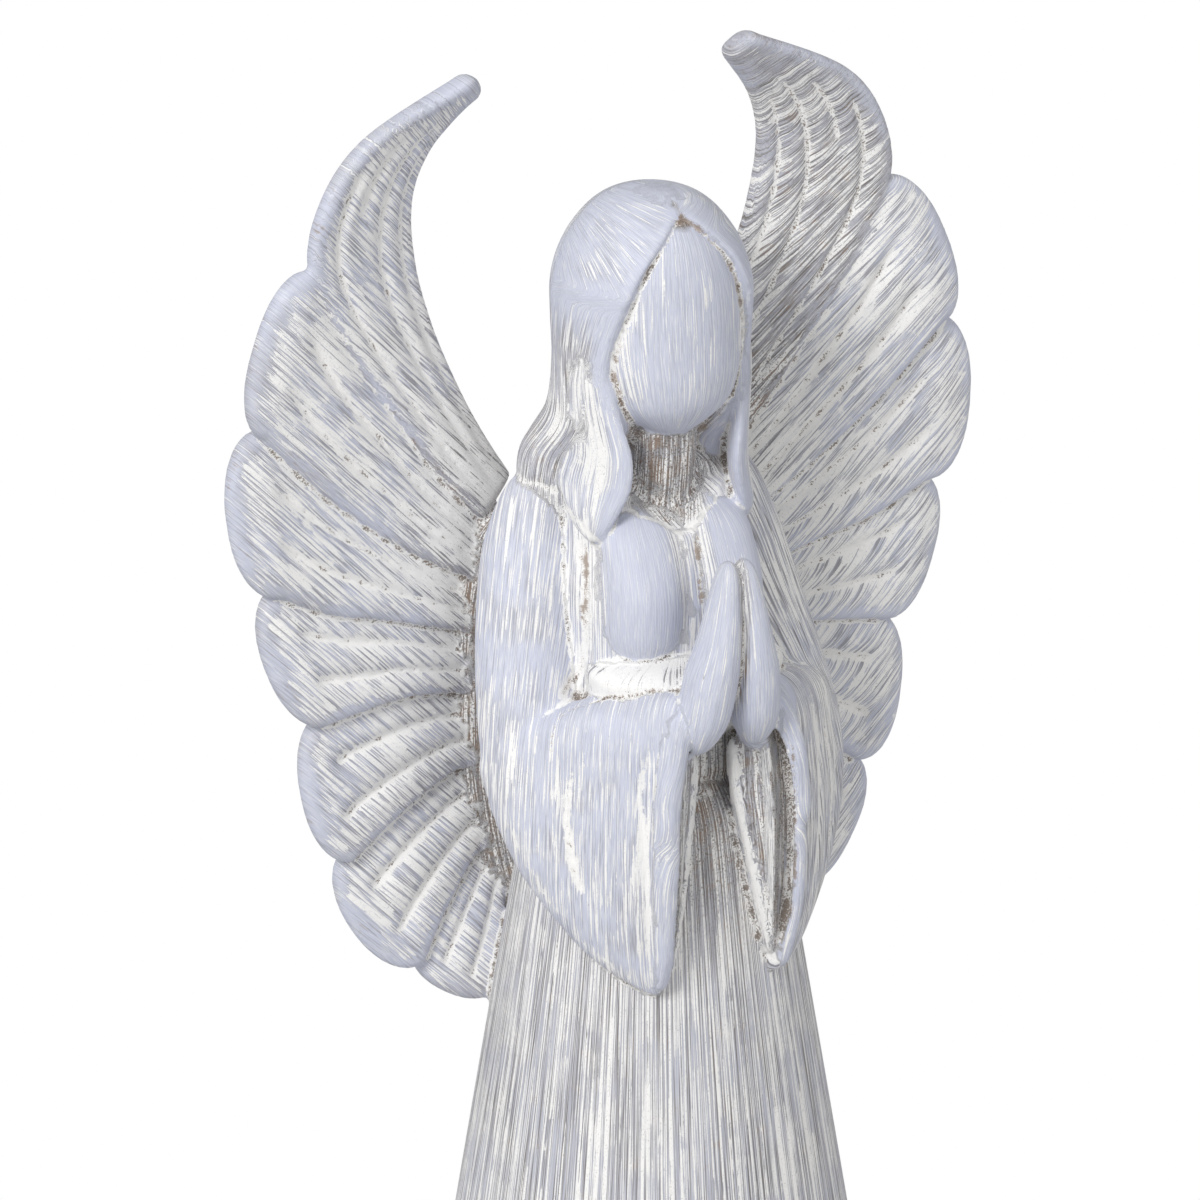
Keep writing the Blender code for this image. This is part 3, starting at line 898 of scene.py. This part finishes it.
def draw_creases(dense, points, normals):
    """Sinks the creases into the points, and gives how white and how brown each point is from them: brown soil, and
    along the lip of the hair opening painted shade as well.
    """
    white, brown, depth = (np.zeros(len(points)) for _ in range(3))

    def draw(spot, half_width, deep, chalk, soil_and_shade):
        middle = dense.find(place(*spot))[0]
        for _, index, gap in dense.find_range(middle, 2 * half_width * unit):
            near = bell(gap / unit, 0, half_width)
            white[index] = max(white[index], chalk * near)
            brown[index] = max(brown[index], soil_and_shade * near)
            depth[index] = max(depth[index], deep * near)

    for half_width, deep, chalk, soil_and_shade, mirrored, line in creases:
        count = int(sum(math.dist(a, b) for a, b in zip(line, line[1:])) / crease_gap)
        for step in range(count + 1):
            x, y, z = blend(line, step / count)
            fade = rise(step / count, -0.02, 0.12) * (1 - rise(step / count, 0.88, 1.02))
            for side in (1, -1) if mirrored else (1,):
                draw((side * x, y, z), half_width, deep * fade, chalk * fade, soil_and_shade * fade)
    # A brown crease runs along the lip of the hair opening: brown soil on the right, and on the left below the height
    # 436 painted shade in the sunk gap beside the face as well.
    for x, y, z in lip_spots:
        plain = x < 0 and z > 436
        draw((x, y, z), 1.2, 0.4, 0.2, 0.3 if plain else 0.6)
    return points - normals * (depth * unit)[:, None], white, brown


def zone_share(points, middle, size):
    """How much each point is softened by one zone, from 0 to 1."""
    x = (np.abs(points[:, 0]) / unit - middle[0]) / size[0]
    y = (points[:, 1] / unit - middle[1]) / size[1]
    z = (own_height(points[:, 2]) - middle[2]) / size[2]
    return np.clip(1.6 * (1 - np.sqrt(x * x + y * y + z * z)), 0, 1)


marks_near = 8
grain_jump = 8.0
closest_gap = 0.0002
longest_shift = 1.5


def carried(places, skin, painted):
    """The grain and the touch of the clay at each place, with the grain's slope followed between the marks."""
    found = [painted.find_n(spot, marks_near) for spot in places]
    which = np.array([[hit[1] for hit in hits] for hits in found])
    gaps = np.array([[hit[2] for hit in hits] for hits in found])
    spots, grains, touches = (np.array([mark[part] for mark in skin], dtype=np.float64)[which] for part in range(3))
    alike = np.linalg.norm(grains - grains[:, :1], axis=2) < grain_jump
    weight = alike / (gaps + closest_gap) ** 2
    weight /= weight.sum(axis=1, keepdims=True)
    middle, grain, touch = (np.einsum("ij,ijk->ik", weight, rows) for rows in (spots, grains, touches))
    spots -= middle[:, None]
    grains -= grain[:, None]
    spread = np.einsum("ij,ijk,ijl->ikl", weight, spots, spots)
    spread += (0.02 * np.einsum("ikk->i", spread) + 1e-10)[:, None, None] * np.eye(3)
    slope = np.einsum("ij,ijk,ijl->ikl", weight, spots, grains)
    away = np.linalg.solve(spread, (np.array(places, dtype=np.float64) - middle)[:, :, None])[:, :, 0]
    shift = np.einsum("ik,ikl->il", away, slope)
    length = np.linalg.norm(shift, axis=1, keepdims=True)
    return grain + shift * np.minimum(1, longest_shift / np.maximum(length, 1e-9)), touch


ground_snap = 0.0006
soft_rounds, fine_rounds, broad_rounds = 28, 9, 45


def make_angel():
    """The figure as one fused, softened and thinned mesh, with its paint carried as attributes."""
    angel = bpy.data.objects.new("angel_cast", model_figure())
    bpy.context.scene.collection.objects.link(angel)
    fuse = angel.modifiers.new("fuse", "REMESH")
    fuse.mode = "VOXEL"
    fuse.voxel_size = clay_grain
    hollow_pieces = []
    for side in (1, -1):
        hollow = make_hollow(side)
        bpy.context.scene.collection.objects.link(hollow)
        cut = angel.modifiers.new("hollow", "BOOLEAN")
        cut.operation = "DIFFERENCE"
        cut.object = hollow
        cut.solver = "MANIFOLD"
        hollow_pieces.append(hollow)
    again = angel.modifiers.new("fuse_again", "REMESH")
    again.mode = "VOXEL"
    again.voxel_size = clay_grain
    apply_modifiers(angel)
    for hollow in hollow_pieces:
        bpy.data.objects.remove(hollow)

    points, edges = mesh_numbers(angel.data)
    grain_rounds = 0.001 / clay_grain
    soft = softened(points, edges, int(soft_rounds * grain_rounds))
    share = np.clip(sum(zone_share(points, *zone) for zone in soft_zones), 0, 1)[:, None]
    points = points + share * (soft - points)
    points, white, brown = draw_creases(tree_of(points), points, point_normals(angel.data))
    points = points.astype(np.float32)
    angel.data.vertices.foreach_set("co", points.ravel())
    angel.data.update()
    normals = point_normals(angel.data)
    fine = hollows(points, edges, normals, max(3, int(fine_rounds * grain_rounds)))
    broad = hollows(points, edges, normals, max(8, int(broad_rounds * grain_rounds)))
    dense = tree_of(points)

    thin = angel.modifiers.new("thin", "DECIMATE")
    triangles = sum(len(face.vertices) - 2 for face in angel.data.polygons)
    thin.ratio = min(1.0, most_triangles / triangles)
    thin.use_collapse_triangulate = True
    apply_modifiers(angel)

    skin = [mark for mark in marks if dense.find(mark[0])[2] < 1.05 * clay_grain]
    painted = tree_of([mark[0] for mark in skin])
    relief, lined = [], []
    for vertex in angel.data.vertices:
        if vertex.co.z < ground_snap:
            vertex.co.z = 0.0
        index = dense.find(vertex.co)[1]
        relief.append((fine[index], broad[index], 0.0))
        lined.append((white[index], brown[index], 0.0))
    grains, touches = carried([vertex.co for vertex in angel.data.vertices], skin, painted)
    add_attribute(angel.data, "grain", grains)
    add_attribute(angel.data, "touch", touches)
    add_attribute(angel.data, "relief", relief)
    add_attribute(angel.data, "lined", lined)
    angel.data.polygons.foreach_set("use_smooth", [True] * len(angel.data.polygons))
    angel.data.update()
    return angel


class Paint:
    """A small helper that adds and joins the nodes of one material."""

    def __init__(self, name):
        self.material = bpy.data.materials.new(name)
        self.material.use_nodes = True
        self.tree = self.material.node_tree
        self.shader = self.tree.nodes["Principled BSDF"]

    def node(self, kind, inputs=(), **settings):
        made = self.tree.nodes.new(kind)
        for key, value in settings.items():
            setattr(made, key, value)
        for key, value in dict(inputs).items():
            if isinstance(value, bpy.types.NodeSocket):
                self.tree.links.new(value, made.inputs[key])
            else:
                made.inputs[key].default_value = value
        return made

    def math(self, operation, a, b=0.0, clamp=False):
        return self.node("ShaderNodeMath", {0: a, 1: b}, operation=operation, use_clamp=clamp).outputs[0]

    def sized(self, value, size):
        return self.math("MULTIPLY", value, size)

    def read(self, name):
        made = self.node("ShaderNodeAttribute", attribute_name=name)
        return made.outputs["Vector"]

    def split(self, vector):
        return self.node("ShaderNodeSeparateXYZ", {0: vector}).outputs

    def scaled(self, vector, x, y, z):
        return self.node("ShaderNodeVectorMath", {0: vector, 1: (x, y, z)}, operation="MULTIPLY").outputs[0]

    def noise(self, vector, scale, detail=2.0, roughness=0.5):
        made = self.node(
            "ShaderNodeTexNoise", {"Vector": vector, "Scale": scale, "Detail": detail, "Roughness": roughness}
        )
        return made.outputs["Fac"]

    def brush_lines(self, grain, across, along):
        """The lines of a brush, as fine as across says and broken along their length as along says."""
        return self.noise(self.scaled(grain, across, across, along), 1.0, 1.0, 0.5)

    def varied(self, value, noise, size):
        """A value made uneven by a noise, whose middle is 0.5."""
        return self.math("ADD", value, self.sized(self.math("SUBTRACT", noise, 0.5), size))

    def step(self, value, low, high):
        """A soft step of a value from 0 at low to 1 at high."""
        made = self.node(
            "ShaderNodeMapRange",
            {"Value": value, "From Min": low, "From Max": high},
            interpolation_type="SMOOTHSTEP",
        )
        return made.outputs["Result"]

    def mix(self, share, under, over):
        made = self.node("ShaderNodeMix", data_type="RGBA")
        for index, value in ((0, share), (6, under), (7, over)):
            if isinstance(value, bpy.types.NodeSocket):
                self.tree.links.new(value, made.inputs[index])
            else:
                made.inputs[index].default_value = value
        return made.outputs[2]


def colour(red, green, blue):
    """A colour from 0 to 255 on a screen, as the shader takes it."""
    return (*[((c / 255 + 0.055) / 1.055) ** 2.4 if c > 10 else c / 255 / 12.92 for c in (red, green, blue)], 1.0)


lavender = colour(205, 209, 225)
wear_and_shade_grey = colour(176, 176, 183)
chalk_white = colour(250, 249, 247)
scratch_grey = colour(126, 122, 122)
soil_and_shade_brown = colour(152, 132, 116)
soil_and_shade_grey = colour(150, 148, 148)
soil_dark = colour(92, 80, 71)


def painted_stone():
    paint = Paint("whitewashed_stone")
    place_now = paint.node("ShaderNodeTexCoord").outputs["Object"]
    grain = paint.read("grain")
    smooth, soil_and_shade, chalk = paint.split(paint.read("touch"))[:3]
    fine, broad = paint.split(paint.read("relief"))[:2]

    white_line, brown_line = paint.split(paint.read("lined"))[:2]
    chalk = paint.math("ADD", chalk, white_line)

    patches = paint.noise(place_now, 42.0, 3.0)
    small_patches = paint.noise(place_now, 170.0, 3.0, 0.6)
    specks = paint.noise(place_now, 1500.0, 3.0, 0.7)
    grit = paint.noise(place_now, 2600.0, 2.0, 0.6)

    # Fine lines of the brush, broken along their length
    lines = paint.brush_lines(grain, 0.95, 0.028)
    thin_lines = paint.brush_lines(grain, 2.1, 0.06)
    hair_lines = paint.brush_lines(grain, 4.0, 0.15)
    strength = paint.math("ADD", paint.sized(paint.step(patches, 0.38, 0.62), 0.05), paint.sized(small_patches, 0.14))
    strength = paint.math("SUBTRACT", strength, paint.sized(smooth, 0.12))
    strength = paint.math("ADD", strength, paint.sized(chalk, 0.12))
    brushed = paint.step(paint.math("ADD", lines, strength), 0.692, 0.706)
    brushed_thin = paint.step(paint.math("ADD", thin_lines, strength), 0.672, 0.694)
    strokes = paint.math("MAXIMUM", brushed, paint.sized(brushed_thin, 0.85))
    strokes = paint.math("MULTIPLY", strokes, paint.step(grit, 0.28, 0.4))

    # The lavender coat, worn to grey in patches and where the touch marks soil and painted shade, and darker between
    # the brush's lines
    wear_and_shade = paint.math("ADD", paint.sized(paint.step(patches, 0.4, 0.66), 0.5), paint.sized(soil_and_shade, 1.5))
    wear_and_shade = paint.math("SUBTRACT", wear_and_shade, paint.sized(smooth, 0.55), clamp=True)
    body = paint.mix(wear_and_shade, lavender, wear_and_shade_grey)
    between = paint.math("SUBTRACT", 1.0, paint.step(thin_lines, 0.36, 0.48))
    between = paint.math("MULTIPLY", between, paint.math("SUBTRACT", 1.0, paint.sized(smooth, 0.8)))
    between = paint.math("MULTIPLY", between, paint.math("ADD", 0.42, paint.sized(soil_and_shade, 1.5)), clamp=True)
    body = paint.mix(between, body, scratch_grey)
    body = paint.mix(paint.sized(paint.step(hair_lines, 0.52, 0.66), 0.4), body, chalk_white)

    # Grey-brown dirt and painted shade lie in the broad hollows, darkening valleys and joins as shade would, and where
    # the touch marks soil and painted shade
    depth = paint.math("ADD", paint.sized(paint.step(broad, 0.4, 1.8), 0.65), paint.sized(soil_and_shade, 0.9))
    depth = paint.varied(depth, small_patches, 1.5)
    depth = paint.varied(depth, thin_lines, -1.0)
    dirt_and_shade = paint.step(depth, 0.45, 1.0)
    dirt_and_shade_colour = paint.mix(paint.step(small_patches, 0.42, 0.62), soil_and_shade_grey, soil_and_shade_brown)
    body = paint.mix(paint.sized(dirt_and_shade, 0.85), body, dirt_and_shade_colour)
    body = paint.mix(strokes, body, chalk_white)

    # White paint caught in the grooves, with dark specks at their bottom
    caught = paint.math("ADD", paint.step(fine, 0.1, 0.35), paint.sized(chalk, 0.8))
    caught = paint.varied(caught, small_patches, 1.8)
    caught = paint.varied(caught, thin_lines, 0.9)
    caught = paint.varied(caught, grit, 0.8)
    caught = paint.step(caught, 0.6, 0.85)
    body = paint.mix(paint.sized(caught, 0.92), body, chalk_white)
    deep = paint.math("ADD", paint.step(fine, 0.2, 0.6), paint.sized(soil_and_shade, 0.55))
    speckled = paint.step(paint.math("ADD", specks, paint.sized(deep, 0.2)), 0.63, 0.68)
    speckled = paint.math("MULTIPLY", speckled, paint.step(deep, 0.15, 0.4))
    lined = paint.varied(brown_line, small_patches, 1.6)
    lined = paint.varied(lined, grit, 1.2)
    lined = paint.math("MULTIPLY", paint.step(lined, 0.4, 0.75), paint.step(brown_line, 0.1, 0.3))
    body = paint.mix(paint.sized(lined, 0.8), body, soil_and_shade_brown)
    body = paint.mix(paint.sized(speckled, 0.85), body, paint.mix(small_patches, soil_dark, soil_and_shade_brown))
    paint.tree.links.new(body, paint.shader.inputs["Base Color"])

    paint.shader.inputs["Metallic"].default_value = 0.0
    paint.shader.inputs["Specular IOR Level"].default_value = 0.35
    rough = paint.math("ADD", 0.6, paint.sized(strokes, 0.18))
    paint.tree.links.new(rough, paint.shader.inputs["Roughness"])

    relief = paint.math("ADD", paint.sized(thin_lines, 0.6), paint.sized(strokes, 0.35))
    relief = paint.math("ADD", relief, paint.sized(grit, 0.2))
    relief = paint.math("SUBTRACT", relief, paint.sized(speckled, 0.4))
    bump = paint.node("ShaderNodeBump", {"Strength": 0.6, "Distance": 0.0005, "Height": relief})
    paint.tree.links.new(bump.outputs[0], paint.shader.inputs["Normal"])
    return paint.material


floor_radius = 0.285
floor_grey = (0.83, 0.83, 0.84, 1)


def plain_floor():
    paint = Paint("pale_floor")
    paint.shader.inputs["Base Color"].default_value = floor_grey
    paint.shader.inputs["Roughness"].default_value = 0.9
    disc = bmesh.new()
    bmesh.ops.create_circle(disc, cap_ends=True, segments=96, radius=floor_radius)
    mesh = bpy.data.meshes.new("floor")
    disc.to_mesh(mesh)
    disc.free()
    floor = bpy.data.objects.new("floor", mesh)
    floor.data.materials.append(paint.material)
    bpy.context.scene.collection.objects.link(floor)


def add_light(name, spot, size, power, aim=(0, 0, 0.33)):
    lamp = bpy.data.lights.new(name, "AREA")
    lamp.shape = "DISK"
    lamp.size = size
    lamp.energy = power
    light = bpy.data.objects.new(name, lamp)
    light.location = spot
    light.rotation_euler = (Vector(aim) - Vector(spot)).to_track_quat("-Z", "Y").to_euler()
    bpy.context.scene.collection.objects.link(light)


room_light = 0.5


def set_lights():
    """A white room, a little brighter from above and from the left."""
    add_light("key", (-1.9, -1.1, 1.9), 1.0, 42)
    add_light("fill", (0.4, -2.4, 1.4), 1.4, 7)
    world = bpy.data.worlds.new("studio")
    world.use_nodes = True
    background = world.node_tree.nodes["Background"]
    background.inputs["Color"].default_value = (1, 1, 1, 1)
    seen = world.node_tree.nodes.new("ShaderNodeLightPath")
    level = world.node_tree.nodes.new("ShaderNodeMapRange")
    level.inputs["To Min"].default_value = room_light
    world.node_tree.links.new(seen.outputs["Is Camera Ray"], level.inputs["Value"])
    world.node_tree.links.new(level.outputs["Result"], background.inputs["Strength"])
    bpy.context.scene.world = world
    bpy.context.scene.view_settings.view_transform = "Standard"


# The photo's camera: to the viewer's left of the statue and above it, far off with a long lens
camera_turn = math.radians(28.7)
camera_lift = math.radians(20)
camera_distance = 3.0
camera_lens = 270
camera_sensor = 36
aim_height = 0.3412
aim_left = 0.0172


def set_camera():
    right = Vector((math.cos(camera_turn), -math.sin(camera_turn), 0))
    toward = -math.cos(camera_lift) * Vector((math.sin(camera_turn), math.cos(camera_turn), 0))
    toward.z = math.sin(camera_lift)
    aim = Vector((0, 0, aim_height)) - right * aim_left
    camera = bpy.data.objects.new("camera", bpy.data.cameras.new("camera"))
    camera.data.lens = camera_lens
    camera.data.sensor_width = camera_sensor
    camera.location = aim + toward * camera_distance
    camera.rotation_euler = (-toward).to_track_quat("-Z", "Y").to_euler()
    bpy.context.scene.collection.objects.link(camera)
    bpy.context.scene.camera = camera


angel = make_angel()
angel.data.materials.clear()
angel.data.materials.append(painted_stone())
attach(angel, "root")
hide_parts("angel_statue")
plain_floor()
set_lights()
set_camera()
